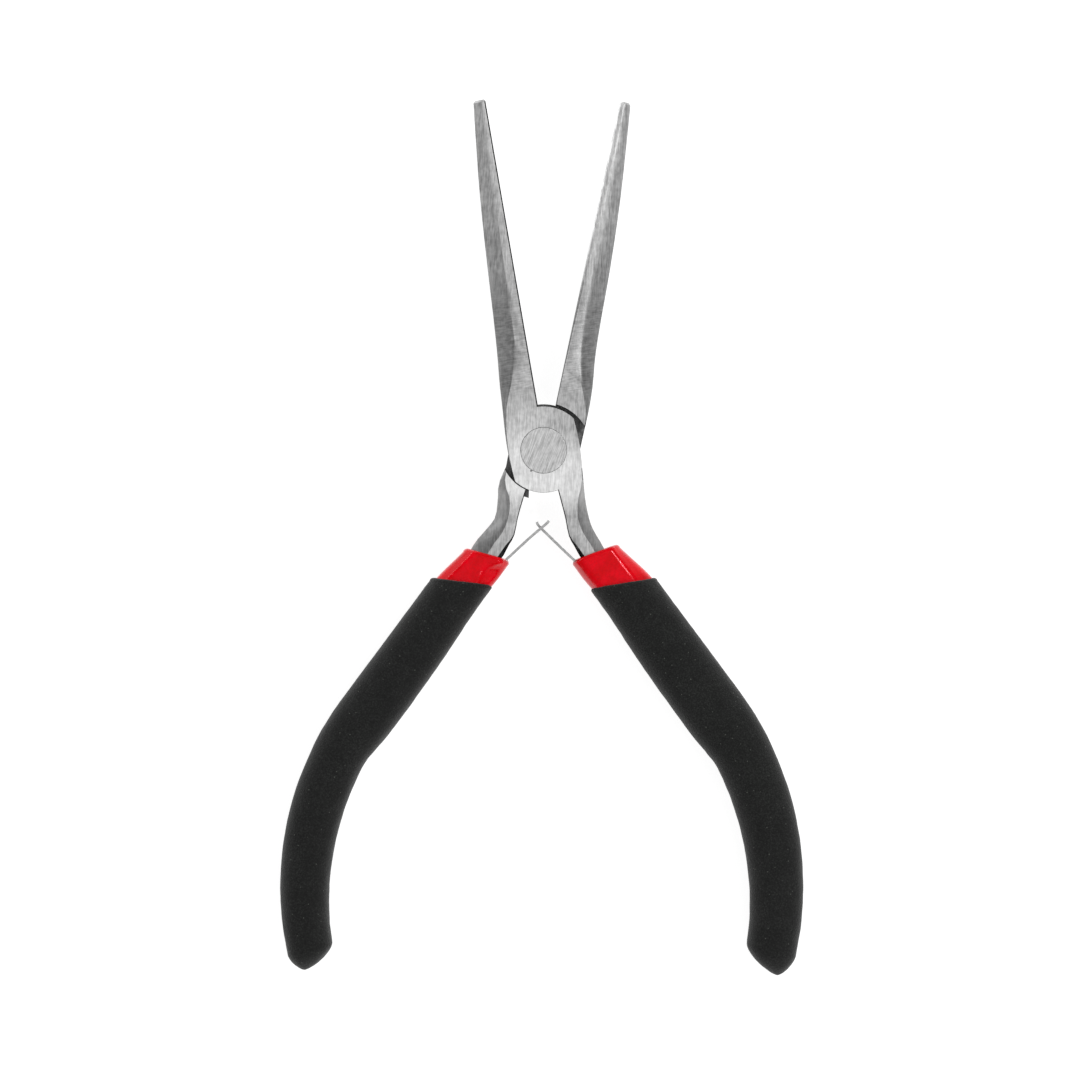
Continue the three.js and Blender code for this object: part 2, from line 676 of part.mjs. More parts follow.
// lapSide is the side of the lap plane where this half makes room for the other half's plate.
function half({ name, jawShape, plateShape, handle, lapSide, extra = [] }) {
  const { turn } = jawShape;
  const joined = [plate(plateShape, turn), tang(handle), ...extra];
  const blank = joined.reduce((whole, piece) => whole.add(piece), jaw(jawShape));
  const lapped = blank.subtract(lapRoom(turn, lapSide));
  const bored = lapped
    .subtract(rivetSolid(RIVET_GAP, CLEAR_OF_FACES))
    .subtract(springRivetSolid(handle, SPRING_RIVET_GAP));
  return namedMesh(name, bored, steel('ground_steel'));
}

const pliers = new THREE.Group();
pliers.name = 'long_nose_pliers';
pliers.position.z = HALF;
pliers.add(half({
  name: 'front_half',
  jawShape: { table: FRONT_JAW, side: -1, length: 59.55, bulge: 1.05, turn: FRONT_OPENING },
  plateShape: { topRadius: FRONT_PLATE_TOP_RADIUS, band: FRONT_BAND },
  handle: HANDLES.right,
  lapSide: -1,
}));
pliers.add(half({
  name: 'back_half',
  jawShape: { table: BACK_JAW, side: 1, length: 59.8, bulge: 1.3, turn: BACK_OPENING },
  plateShape: { topRadius: BACK_PLATE_TOP_RADIUS, band: BACK_BAND },
  handle: HANDLES.left,
  lapSide: 1,
  extra: [tangStep()],
}));
pliers.add(namedMesh('pivot_rivet', rivetSolid(0, HALF), steel('rivet_steel')));
for (const side of ['right', 'left']) {
  const handle = HANDLES[side];
  pliers.add(namedMesh(`${side}_leaf_spring`, leafSolid(side), steel('spring_steel')));
  pliers.add(namedMesh(`${side}_spring_rivet`, springRivetSolid(handle, 0), steel('rivet_steel')));
  pliers.add(namedMesh(`${side}_vinyl_sleeve`, sleeve(handle), vinyl()));
  pliers.add(namedMesh(`${side}_foam_grip`, foamGrip(handle), foam()));
}

const part = new THREE.Group();
part.add(pliers);

export default part;
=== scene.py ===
"""Long-nose pliers for jewellery work, lying open on a white table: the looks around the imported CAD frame."""

import json
import math

import bmesh
import bpy
import numpy as np
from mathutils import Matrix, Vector, noise


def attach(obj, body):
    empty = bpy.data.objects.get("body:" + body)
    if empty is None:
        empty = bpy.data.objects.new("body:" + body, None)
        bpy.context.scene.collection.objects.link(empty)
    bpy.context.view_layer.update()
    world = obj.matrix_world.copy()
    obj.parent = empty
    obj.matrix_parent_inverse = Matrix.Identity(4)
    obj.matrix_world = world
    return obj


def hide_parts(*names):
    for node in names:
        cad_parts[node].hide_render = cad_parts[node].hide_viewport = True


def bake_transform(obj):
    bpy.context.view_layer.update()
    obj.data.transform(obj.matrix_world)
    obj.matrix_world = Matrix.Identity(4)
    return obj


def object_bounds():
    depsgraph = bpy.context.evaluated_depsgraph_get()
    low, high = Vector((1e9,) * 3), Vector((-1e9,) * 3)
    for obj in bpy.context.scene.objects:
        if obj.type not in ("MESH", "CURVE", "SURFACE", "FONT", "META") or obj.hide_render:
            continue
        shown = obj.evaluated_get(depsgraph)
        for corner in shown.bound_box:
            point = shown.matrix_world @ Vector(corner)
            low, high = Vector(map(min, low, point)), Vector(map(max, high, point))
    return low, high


MM = 0.001
NOISE_LOW, NOISE_HIGH = 0.3, 0.7

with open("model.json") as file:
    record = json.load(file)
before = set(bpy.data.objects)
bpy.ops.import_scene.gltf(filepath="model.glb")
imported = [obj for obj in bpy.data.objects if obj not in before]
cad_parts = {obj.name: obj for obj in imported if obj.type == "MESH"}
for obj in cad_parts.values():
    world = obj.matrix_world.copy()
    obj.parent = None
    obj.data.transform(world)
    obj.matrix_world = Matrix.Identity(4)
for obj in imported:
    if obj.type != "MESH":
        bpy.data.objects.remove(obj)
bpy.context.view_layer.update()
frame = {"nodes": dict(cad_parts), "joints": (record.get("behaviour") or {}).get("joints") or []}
scene = bpy.context.scene


# ------------------------------------------------------------------ materials


class Look:
    """A material with short calls for its nodes. An input is a value or another node's output."""

    def __init__(self, name, **fixed):
        self.material = bpy.data.materials.new(name)
        self.material.use_nodes = True
        self.tree = self.material.node_tree
        self.tree.nodes.clear()
        self.shader = self.node("ShaderNodeBsdfPrincipled")
        self.set(self.shader, **fixed)
        output = self.node("ShaderNodeOutputMaterial")
        self.tree.links.new(self.shader.outputs[0], output.inputs["Surface"])
        self.place = self.node("ShaderNodeTexCoord")

    def node(self, kind, **settings):
        made = self.tree.nodes.new(kind)
        for name, value in settings.items():
            setattr(made, name, value)
        return made

    def set(self, node, **values):
        for name, value in values.items():
            socket = node.inputs[name.replace("_", " ")]
            if isinstance(value, bpy.types.NodeSocket):
                self.tree.links.new(value, socket)
            else:
                socket.default_value = value

    def position(self):
        return self.place.outputs["Object"]

    def part(self, vector, axis):
        split = self.node("ShaderNodeSeparateXYZ")
        self.tree.links.new(vector, split.inputs[0])
        return split.outputs[axis]

    def grain(self, size, turn=0.0, detail=2.0, roughness=0.55, shift=0.0):
        """Noise whose marks measure size (x, y, z in millimetres), turned about Z by turn degrees."""
        mapping = self.node("ShaderNodeMapping", vector_type="TEXTURE")
        mapping.inputs["Location"].default_value = (shift * MM, shift * MM, 0)
        mapping.inputs["Rotation"].default_value = (0, 0, math.radians(turn))
        mapping.inputs["Scale"].default_value = [side * MM for side in size]
        self.tree.links.new(self.position(), mapping.inputs["Vector"])
        made = self.node("ShaderNodeTexNoise")
        self.set(made, Vector=mapping.outputs[0], Scale=1.0, Detail=detail, Roughness=roughness)
        return made.outputs["Fac"]

    def cells(self, size):
        """Distance to the nearest cell's middle, for pores that measure size millimetres."""
        made = self.node("ShaderNodeTexVoronoi")
        self.set(made, Vector=self.position(), Scale=1 / (size * MM))
        return made.outputs["Distance"]

    def ranged(self, value, low, high, to_low=0.0, to_high=1.0, smooth=True):
        made = self.node("ShaderNodeMapRange", interpolation_type="SMOOTHSTEP" if smooth else "LINEAR")
        made.clamp = True
        names = ("Value", "From Min", "From Max", "To Min", "To Max")
        for name, item in zip(names, (value, low, high, to_low, to_high)):
            self.set(made, **{name: item})
        return made.outputs[0]

    def spread(self, grain, to_low=0.0, to_high=1.0):
        """A noise's usual range, read as low to high."""
        return self.ranged(grain, NOISE_LOW, NOISE_HIGH, to_low, to_high)

    def maths(self, operation, first, second=0.0):
        made = self.node("ShaderNodeMath", operation=operation)
        for socket, item in zip(made.inputs, (first, second)):
            if isinstance(item, bpy.types.NodeSocket):
                self.tree.links.new(item, socket)
            else:
                socket.default_value = item
        return made.outputs[0]

    def product(self, first, *others):
        for other in others:
            first = self.maths("MULTIPLY", first, other)
        return first

    def mix(self, share, first, second):
        """Colours first and second, with share of the second."""
        made = self.node("ShaderNodeMix", data_type="RGBA")
        for index, item in ((0, share), (6, first), (7, second)):
            socket = made.inputs[index]
            if isinstance(item, bpy.types.NodeSocket):
                self.tree.links.new(item, socket)
            else:
                socket.default_value = (*item, 1) if isinstance(item, tuple) else item
        return made.outputs[2]

    def shade(self, value):
        """A grey of the given value, as a colour."""
        made = self.node("ShaderNodeCombineColor")
        for socket in made.inputs:
            self.tree.links.new(value, socket)
        return made.outputs[0]

    def tinted(self, colour, value):
        """The colour multiplied by a value."""
        made = self.node("ShaderNodeMix", data_type="RGBA", blend_type="MULTIPLY")
        made.inputs[0].default_value = 1
        self.tree.links.new(self.shade(value), made.inputs[7])
        if isinstance(colour, tuple):
            made.inputs[6].default_value = (*colour, 1)
        else:
            self.tree.links.new(colour, made.inputs[6])
        return made.outputs[2]

    def mask(self, name):
        """A number stored on the mesh."""
        made = self.node("ShaderNodeAttribute", attribute_name=name)
        return made.outputs["Fac"]

    def bumps(self, *layers):
        """Relief from (height, depth in millimetres) layers."""
        before = None
        for height, depth in layers:
            bump = self.node("ShaderNodeBump")
            self.set(bump, Height=height, Distance=depth * MM, Strength=1.0)
            if before:
                self.tree.links.new(before, bump.inputs["Normal"])
            before = bump.outputs[0]
        self.tree.links.new(before, self.shader.inputs["Normal"])


def grey(value):
    return (value, value, value)


# A pit at the rivet's rim, drawn only as a small spot of painted shade.
PIT = (-2.1, -3.45)
PIT_SIZE = 0.2
PIT_SHADE_GREY = grey(0.06)
# The flanks' darker grey is painted shade for faces that lean away from the light.
FLANK_SHADE_GREY, FACE_GREY = grey(0.24), grey(0.43)
WALL_GREY, LAP_GREY = grey(0.020), grey(0.13)


def forged_steel(name):
    """Belt-ground steel: bright flats, rougher flanks painted darker as shade, and dark scale where the mesh is
    marked.

    Flanks and flats lighten towards the tips, and the right jaw's faces carry painted shade and a painted
    highlight by the way they lean.
    """
    look = Look(name, Metallic=1.0)
    upright = look.grain((0.2, 2.6, 2.6), turn=-3, detail=3.0)
    fine = look.grain((0.09, 1.2, 1.2), turn=4, shift=3.0)
    across = look.grain((1.8, 0.18, 1.8), turn=8, detail=3.0)
    blotch = look.grain((0.7, 0.9, 0.9), detail=3.0)
    cloud = look.grain((4.0, 6.0, 6.0), shift=7.0)
    x, y = (look.part(look.position(), axis) for axis in "XY")
    base = look.maths("MULTIPLY", look.ranged(y, 8 * MM, 11 * MM), look.ranged(y, 30 * MM, 20 * MM))
    marks = look.part(look.mix(base, look.shade(upright), look.shade(across)), "X")
    tone = look.maths("ADD", look.spread(marks, 0.78, 1.16), look.spread(fine, -0.07, 0.07))
    tone = look.maths("ADD", tone, look.spread(blotch, -0.13, 0.13))
    tone = look.maths("ADD", tone, look.spread(cloud, -0.09, 0.09))
    # Painted sheen: the joint's flats are painted lighter low down.
    painted_sheen = look.maths(
        "MULTIPLY", look.ranged(y, 5 * MM, -3 * MM, 0.0, 0.62), look.ranged(y, -12 * MM, -6.5 * MM)
    )
    tone = look.maths("ADD", tone, painted_sheen)
    level = look.maths("ABSOLUTE", look.part(look.place.outputs["Normal"], "Z"))
    flat = look.ranged(level, 0.90, 0.992)
    lean = look.part(look.place.outputs["Normal"], "X")
    right_jaw = look.ranged(x, 1 * MM, 2.5 * MM)
    # Painted shade: the right jaw's faces near its root are darker where they lean outward.
    painted_shade_outward = look.product(look.ranged(lean, 0.03, 0.22), right_jaw, look.ranged(y, 7 * MM, 14 * MM))
    # Painted highlight: the right jaw's faces are lighter towards the tip where they lean inward.
    painted_highlight_inward = look.product(look.ranged(lean, -0.05, -0.3), right_jaw, look.ranged(y, 22 * MM, 38 * MM))
    # Painted shade: the right jaw's slightly leaning faces along its ridge are darker.
    band = look.product(look.ranged(lean, 0.008, 0.06), look.ranged(lean, 0.34, 0.18))
    painted_shade_ridge = look.product(
        band, right_jaw, look.ranged(y, 7 * MM, 13 * MM), look.ranged(y, 42 * MM, 24 * MM)
    )
    # Painted light: the joint's flats are lighter on the left and a little darker on the right.
    painted_side_light = look.product(
        look.ranged(x, -6 * MM, 5.5 * MM, 0.26, -0.06),
        look.ranged(y, 10 * MM, 6 * MM),
        look.ranged(y, -4 * MM, 0.0),
    )
    tone = look.maths("ADD", tone, look.maths("MULTIPLY", painted_side_light, flat))
    # Leaning faces take the flank grey, which is painted shade and lightens towards the tips.
    flank_shade_look = look.tinted(FLANK_SHADE_GREY, look.ranged(y, 10 * MM, 44 * MM, 1.0, 2.1))
    face_look = look.tinted(FACE_GREY, look.ranged(y, 26 * MM, 52 * MM, 1.0, 1.4))
    ground = look.tinted(look.mix(flat, flank_shade_look, face_look), tone)
    ground = look.tinted(ground, look.ranged(painted_shade_outward, 0, 1, 1.0, 0.9, smooth=False))
    ground = look.tinted(ground, look.ranged(painted_shade_ridge, 0, 1, 1.0, 0.68, smooth=False))
    ground = look.tinted(ground, look.ranged(painted_highlight_inward, 0, 1, 1.0, 1.6, smooth=False))
    from_pit = look.maths(
        "SQRT",
        look.maths(
            "ADD",
            look.maths("POWER", look.maths("SUBTRACT", x, PIT[0] * MM), 2.0),
            look.maths("POWER", look.maths("SUBTRACT", y, PIT[1] * MM), 2.0),
        ),
    )
    # Painted shade: a small dark spot stands in for the pit.
    painted_pit_shade = look.maths("MULTIPLY", look.ranged(from_pit, PIT_SIZE * MM, PIT_SIZE * 0.4 * MM), flat)
    upside = look.ranged(look.part(look.place.outputs["Normal"], "Z"), 0.0, 0.5)
    painted_pit_shade = look.maths("MULTIPLY", painted_pit_shade, upside)
    ground = look.mix(painted_pit_shade, ground, PIT_SHADE_GREY)
    scale_tone = look.ranged(look.maths("MULTIPLY", upright, blotch), 0.12, 0.4, 0.6, 1.6)
    walls = look.tinted(WALL_GREY, scale_tone)
    laps = look.tinted(LAP_GREY, scale_tone)
    scale = look.mix(flat, walls, laps)
    unground = look.mask("unground")
    colour = look.mix(unground, ground, scale)
    rough = look.spread(marks, 0.34, 0.44)
    rough = look.maths("ADD", rough, look.ranged(flat, 0, 1, 0.06, 0.0))
    rough = look.maths("ADD", rough, look.maths("MULTIPLY", unground, 0.12))
    look.set(look.shader, Base_Color=colour, Roughness=rough)
    look.bumps((marks, 0.006), (fine, 0.002), (blotch, 0.005))
    return look.material


def rivet_steel(name):
    """The rivet's ends: ground slantwise, with a thin dark ring of painted shade where the head sits in the
    plate.
    """
    look = Look(name, Metallic=1.0)
    marks = look.grain((0.2, 3.6, 3.6), turn=-20, detail=3.0)
    fine = look.grain((0.1, 3.0, 3.0), turn=-26, shift=2.0)
    blotch = look.grain((0.8, 0.8, 0.8), detail=3.0)
    tone = look.maths("ADD", look.spread(marks, 0.78, 1.22), look.spread(fine, -0.1, 0.1))
    tone = look.maths("ADD", tone, look.spread(blotch, -0.1, 0.1))
    colour = look.mix(look.mask("painted_seat_shade"), look.tinted(grey(0.50), tone), grey(0.10))
    look.set(look.shader, Base_Color=colour, Roughness=look.spread(marks, 0.36, 0.46))
    look.bumps((marks, 0.007), (blotch, 0.004))
    return look.material


def leaf_steel(name):
    """Cold-rolled spring strip, drawn lengthwise, with rounded borders painted dark as shade."""
    look = Look(name, Metallic=1.0)
    blotch = look.grain((0.5, 0.5, 0.5), detail=3.0)
    fine = look.grain((0.12, 0.12, 2.0), shift=2.0)
    tone = look.maths("ADD", look.spread(blotch, 0.8, 1.1), look.spread(fine, -0.1, 0.1))
    colour = look.tinted(look.mix(look.mask("painted_shade_border"), grey(0.40), grey(0.05)), tone)
    look.set(look.shader, Base_Color=colour, Roughness=look.spread(fine, 0.26, 0.4))
    look.bumps((fine, 0.003), (blotch, 0.003))
    return look.material


def red_vinyl(name):
    """Dipped glossy vinyl with a faint ripple and paler thin edges."""
    look = Look(
        name, Metallic=0.0, IOR=1.5, Specular_IOR_Level=0.32, Specular_Tint=(1.0, 0.3, 0.35, 1.0)
    )
    cloud = look.grain((2.4, 2.4, 2.4), detail=2.0)
    fine = look.grain((0.35, 0.35, 0.35), detail=3.0, shift=1.0)
    colour = look.mix(look.spread(cloud), (0.66, 0.0, 0.003), (0.80, 0.0, 0.008))
    colour = look.tinted(colour, look.spread(fine, 0.9, 1.06))
    look.set(look.shader, Base_Color=colour, Roughness=look.spread(fine, 0.12, 0.2))
    look.bumps((cloud, 0.02), (fine, 0.003))
    return look.material


def black_foam(name):
    """Closed-cell foam with a fine skin of pores and a few pale specks."""
    look = Look(name, Metallic=0.0, Specular_IOR_Level=0.25, Sheen_Weight=0.14, Sheen_Roughness=0.45)
    pores = look.cells(0.32)
    grit = look.grain((0.26, 0.26, 0.26), detail=3.0)
    cloud = look.grain((3.5, 3.5, 3.5), shift=4.0)
    specks = look.ranged(look.cells(1.15), 0.11, 0.06)
    tone = look.maths("ADD", look.ranged(pores, 0.1, 0.6, 1.4, 0.6), look.spread(grit, -0.5, 0.5))
    tone = look.maths("MULTIPLY", tone, look.spread(cloud, 0.85, 1.2))
    colour = look.mix(specks, look.tinted((0.0125, 0.0132, 0.0125), tone), (0.07, 0.074, 0.066))
    look.set(look.shader, Base_Color=colour, Roughness=look.spread(grit, 0.75, 0.95))
    look.bumps((pores, 0.05), (grit, 0.04))
    return look.material


# ------------------------------------------------------------------ pieces made from the frame's steel


def link(name, mesh):
    piece = bpy.data.objects.new(name, mesh)
    scene.collection.objects.link(piece)
    return piece


def applied(piece):
    """Turns a piece's modifiers into its mesh."""
    made = bpy.data.meshes.new_from_object(piece.evaluated_get(bpy.context.evaluated_depsgraph_get()))
    piece.modifiers.clear()
    old = piece.data
    piece.data = made
    bpy.data.meshes.remove(old)
    return piece


def steel_copy(node, name, bevel, crease_deg=13.0, bevel_deg=32.0, tidy_deg=0.4):
    """A copy of a CAD node with welded points, clean flats, eased edges and smooth curved faces."""
    mesh = frame["nodes"][node].data.copy()
    made = bmesh.new()
    made.from_mesh(mesh)
    bmesh.ops.remove_doubles(made, verts=made.verts, dist=0.002 * MM)
    bmesh.ops.dissolve_limit(
        made, angle_limit=math.radians(tidy_deg), verts=made.verts, edges=made.edges
    )
    made.to_mesh(mesh)
    made.free()
    mesh.materials.clear()
    piece = link(name, mesh)
    if bevel:
        ease = piece.modifiers.new("ease", "BEVEL")
        ease.width = bevel * MM
        ease.segments = 2
        ease.limit_method = "ANGLE"
        ease.angle_limit = math.radians(bevel_deg)
        bpy.context.view_layer.update()
        applied(piece)
    mesh = piece.data
    mesh.shade_smooth()
    mesh.set_sharp_from_angle(angle=math.radians(crease_deg))
    return piece


def store(mesh, name, values, domain="FACE"):
    attribute = mesh.attributes.new(name, "FLOAT", domain)
    attribute.data.foreach_set("value", np.asarray(values, np.float32))


def faces_of(mesh):
    """Middles (in millimetres) and normals of a mesh's faces."""
    count = len(mesh.polygons)
    middles, normals = np.zeros(count * 3), np.zeros(count * 3)
    mesh.polygons.foreach_get("center", middles)
    mesh.polygons.foreach_get("normal", normals)
    return middles.reshape(-1, 3) / MM, normals.reshape(-1, 3)


JOINT_MIDDLE = 3.5
LAP_REACH = 8.6
JAW_START = 7.6
TANG_START = -6.8


def mark_unground(piece, jaw_side):
    """Marks the lap faces, the walls round them, the tangs' inner bevels and the front jaw's inner edge.

    jaw_side is -1 for the front half, whose jaw is on the left.
    """
    middles, normals = faces_of(piece.data)
    x, y, z = middles.T
    steep = np.abs(normals[:, 2]) < 0.6
    in_joint = np.hypot(x, y) < LAP_REACH
    lap = in_joint & (np.abs(z - JOINT_MIDDLE) < 0.2) & ~steep
    flush_side = (np.abs(normals[:, 0]) > 0.9) & (normals[:, 0] * x > 0)
    walls = in_joint & steep & ~flush_side
    leans = np.abs(normals[:, 2]) < 0.93
    on_tang = (y < TANG_START) & (normals[:, 0] * jaw_side > 0.25) & leans
    on_jaw = (jaw_side < 0) & (y > JAW_START) & (normals[:, 0] > 0.25) & leans
    store(piece.data, "unground", (lap | walls | on_tang | on_jaw).astype(float))


# ------------------------------------------------------------------ soft parts, built as closed lofts

HANDLE_MIDDLE = -0.35
GRIP_TOP_Y = -23.0
GRIP_LEAN = math.radians(36.6)
WIDTH_TABLE = [
    (-8, 0.92), (0, 0.935), (6, 0.97), (18, 1), (24, 0.995), (28, 0.955), (32, 0.91),
    (42, 0.895), (54, 0.85), (66, 0.795), (78, 0.75),
]


def smooth(rows):
    """A smooth curve through rows whose first column is the station, as a function of the station."""
    rows = np.asarray(rows, float)
    stations, sizes = rows[:, 0], rows[:, 1:]
    slopes = np.gradient(sizes, stations, axis=0)

    def read(at):
        i = int(np.clip(np.searchsorted(stations, at, side="right") - 1, 0, len(rows) - 2))
        step = stations[i + 1] - stations[i]
        t = np.clip((at - stations[i]) / step, 0, 1)
        return (
            sizes[i] * (2 * t**3 - 3 * t**2 + 1)
            + sizes[i + 1] * (3 * t**2 - 2 * t**3)
            + slopes[i] * step * (t**3 - 2 * t**2 + t)
            + slopes[i + 1] * step * (t**3 - t**2)
        )

    return read


width_share = smooth(WIDTH_TABLE)


class Handle:
    """One handle's measures in its own frame, whose inner side faces X = 0."""

    def __init__(self, side, top_x, straight, bow, width):
        self.side, self.top_x, self.straight, self.bow, self.full_width = side, top_x, straight, bow, width

    def width(self, along):
        return self.full_width * width_share(along)[0]

    def point(self, along, depth):
        straight = min(along, self.straight)
        angle = GRIP_LEAN - max(along - self.straight, 0) / self.bow
        x = self.top_x + math.sin(GRIP_LEAN) * straight + self.bow * (math.cos(angle) - math.cos(GRIP_LEAN))
        y = GRIP_TOP_Y - math.cos(GRIP_LEAN) * straight - self.bow * (math.sin(GRIP_LEAN) - math.sin(angle))
        return np.array([x - math.cos(angle) * depth, y - math.sin(angle) * depth])

    def pair(self, along, width):
        middle = self.width(max(along, 0)) / 2
        return self.point(along, middle + width / 2), self.point(along, middle - width / 2)


RIGHT = Handle(1, 20.34, 21.4, 55.5, 10.85)
LEFT = Handle(-1, 19.64, 23.1, 53.4, 9.9)


RIM_STEPS = 6
CORNER_STEPS = 8


def row(inner, outer, height):
    return np.array([*inner, *outer, height], float)


def drawn_in(section, amount):
    inner, outer = section[:2], section[2:4]
    across = (outer - inner) / np.linalg.norm(outer - inner) * amount
    return row(inner + across, outer - across, section[4] - amount)


def shifted(section, move):
    return row(section[:2] + move, section[2:4] + move, section[4])


def upward(section):
    """The unit vector square to a section, towards the handle's mouth."""
    across = (section[2:4] - section[:2]) / np.linalg.norm(section[2:4] - section[:2])
    return np.array([-across[1], across[0]])


def run(rows, steps):
    """Rows read smoothly, steps to each gap."""
    read = smooth([(i, *values) for i, values in enumerate(rows)])
    return [read(i / steps) for i in range((len(rows) - 1) * steps + 1)]


def rim(section, radius):
    """Rows that round a section's edge over towards its middle, from the outside in."""
    up = upward(section)
    made = []
    for i in range(1, RIM_STEPS + 1):
        turn = i / RIM_STEPS * math.pi / 2
        amount = radius * (1 - math.cos(turn))
        made.append(shifted(drawn_in(section, amount), up * radius * math.sin(turn)))
    return made


def rounded_profile(corners, count):
    """A closed outline from (across share, height share, rounding share) corners of its upper half."""
    points = corners + [(s, -h, r) for s, h, r in reversed(corners)]
    dense = []
    for i, (s, h, r) in enumerate(points):
        before, here, after = (np.array(points[j % len(points)][:2]) for j in (i - 1, i, i + 1))
        start = here + (before - here) * r
        end = here + (after - here) * r
        for k in range(CORNER_STEPS + 1):
            t = k / CORNER_STEPS
            dense.append(start * (1 - t) ** 2 + here * 2 * t * (1 - t) + end * t**2)
    dense = np.array(dense + [dense[0]])
    lengths = np.concatenate([[0], np.cumsum(np.linalg.norm(np.diff(dense, axis=0), axis=1))])
    at = np.linspace(0, lengths[-1], count, endpoint=False)
    return np.stack([np.interp(at, lengths, dense[:, axis]) for axis in (0, 1)], axis=1)


def oval_profile(fullness, count):
    angle = (np.arange(count) + 0.5) / count * 2 * math.pi
    power = 2 / fullness
    across = (1 - np.sign(np.cos(angle)) * np.abs(np.cos(angle)) ** power) / 2
    height = np.sign(np.sin(angle)) * np.abs(np.sin(angle)) ** power
    return np.stack([across, height], axis=1)


def ring(handle, section, profile):
    inner, outer, height = section[:2], section[2:4], section[4]
    spots = inner + (outer - inner) * profile[:, :1]
    x = HANDLE_MIDDLE + handle.side * spots[:, 0]
    return np.stack([x, spots[:, 1], JOINT_MIDDLE + height * profile[:, 1]], axis=1) * MM


def loft(name, rings):
    """A closed skin through rings of equal count, its ends closed on their middles."""
    count = len(rings[0])
    points = np.concatenate([*rings, [rings[0].mean(0)], [rings[-1].mean(0)]])
    faces = []
    for r in range(len(rings) - 1):
        for i in range(count):
            j = (i + 1) % count
            faces.append((r * count + i, r * count + j, (r + 1) * count + j, (r + 1) * count + i))
    first, last, base = len(points) - 2, len(points) - 1, (len(rings) - 1) * count
    for i in range(count):
        j = (i + 1) % count
        faces.append((first, j, i))
        faces.append((last, base + i, base + j))
    mesh = bpy.data.meshes.new(name)
    mesh.from_pydata([tuple(p) for p in points], [], faces)
    made = bmesh.new()
    made.from_mesh(mesh)
    bmesh.ops.recalc_face_normals(made, faces=made.faces)
    made.to_mesh(mesh)
    made.free()
    mesh.shade_smooth()
    return link(name, mesh)


SLEEVE_STATIONS = [3, 9, 16, 24, 32, 40, 48, 56, 61.5]
SLEEVE_WIDTH, SLEEVE_HEIGHT, MOUTH_HEIGHT = 6.6, 3.6, 4.0
RIM_RADIUS = 0.75
LIP_INSET = 1.15
LIP_LIFT = 0.3
CROWN_LIFT = RIM_RADIUS - 0.06
BORE_STEPS = 6
# How far the sleeve's hidden end draws in, and how far it sinks
SLEEVE_END = ((0.3, 0.5), (1.0, 0.9), (2.2, 1.1))
SLEEVE_COUNT = 112
ROW_STEPS = 8
FOAM_COUNT = 112

# A mouth's crease is the line where the sleeve's top face turns down: its share of the width from the
# inner edge, at the rim, a little below it and at the foam.
MOUTHS = {
    1: {
        "mouth": row((5.3, -19.25), (13.25, -16.3), MOUTH_HEIGHT),
        "flare": ((8.2, -23.0), 0.4),
        "crease": [0.85, 0.79, 0.70],
        "profile": lambda crease: [
            (0, 0.34, 0.3), (0.13, 1.0, 0.4), (crease, 1.0, 0.2), (1.0, 0.45, 0.4),
        ],
        "bore": [((5.82, -19.06), (11.16, -17.07), 3.1), ((8.6, -20.9), (12.7, -18.6), 2.95)],
    },
    -1: {
        "mouth": row((5.5, -19.15), (13.2, -17.0), MOUTH_HEIGHT),
        "flare": ((8.45, -23.0), 0.6),
        "crease": [0.16, 0.34, 0.26],
        "profile": lambda crease: [
            (0, 0.4, 0.35), (crease, 1.0, 0.2), (0.78, 1.0, 0.22), (1.0, 0.5, 0.35),
        ],
        "bore": [((5.93, -19.03), (12.39, -17.23), 3.1), ((8.6, -20.9), (13.0, -18.4), 2.95)],
    },
}


def sleeve_rows(handle, grow=0.0):
    facts = MOUTHS[handle.side]
    inner, depth = facts["flare"]
    rows = [facts["mouth"], row(inner, handle.point(-1.6, depth), MOUTH_HEIGHT)]
    rows += [row(*handle.pair(along, SLEEVE_WIDTH), SLEEVE_HEIGHT) for along in SLEEVE_STATIONS]
    return [drawn_in(section, -grow) for section in rows]


def mouth_bore(handle):
    """Rows of the sleeve's bore, from deep inside up to the mouth: room for the tang and the leaf."""
    facts = MOUTHS[handle.side]
    deep = row(*handle.pair(6, 4.9), 2.9)
    deeper = row(*handle.pair(16, 4.6), 2.75)
    low, high = (row(*pair) for pair in reversed(facts["bore"]))
    return [deeper, deep, low, high]


def make_sleeve(handle, name):
    facts = MOUTHS[handle.side]
    outer = run(sleeve_rows(handle), ROW_STEPS)
    mouth = facts["mouth"]
    bore = mouth_bore(handle)
    lip = shifted(drawn_in(mouth, LIP_INSET), upward(mouth) * LIP_LIFT)
    inside = run([*bore, lip], BORE_STEPS)
    edge = list(reversed(rim(mouth, RIM_RADIUS)))
    crown = shifted(drawn_in(mouth, LIP_INSET - 0.15), upward(mouth) * CROWN_LIFT)
    down = -upward(outer[-1])
    end = [shifted(drawn_in(outer[-1], amount), down * sunk) for amount, sunk in SLEEVE_END]
    crease = smooth(list(zip((0, 0.3, 1), facts["crease"])))
    snug = oval_profile(5.0, SLEEVE_COUNT)
    rings = [ring(handle, section, snug) for section in inside[:-1]]
    at_rim = [(section, 0) for section in (inside[-1], crown, *edge)]
    below = [(section, min(i / ROW_STEPS, 1)) for i, section in enumerate(outer)]
    for section, share in [*at_rim, *below, *((section, 1) for section in end)]:
        skin = rounded_profile(facts["profile"](crease(share)[0]), SLEEVE_COUNT)
        rings.append(ring(handle, section, skin))
    return loft(name, aligned(rings))


def aligned(rings):
    """Turns each ring's numbering so that its points stay closest to the ring before."""
    made = [rings[0]]
    for points in rings[1:]:
        costs = [np.sum((np.roll(points, k, axis=0) - made[-1]) ** 2) for k in range(len(points))]
        made.append(np.roll(points, int(np.argmin(costs)), axis=0))
    return made


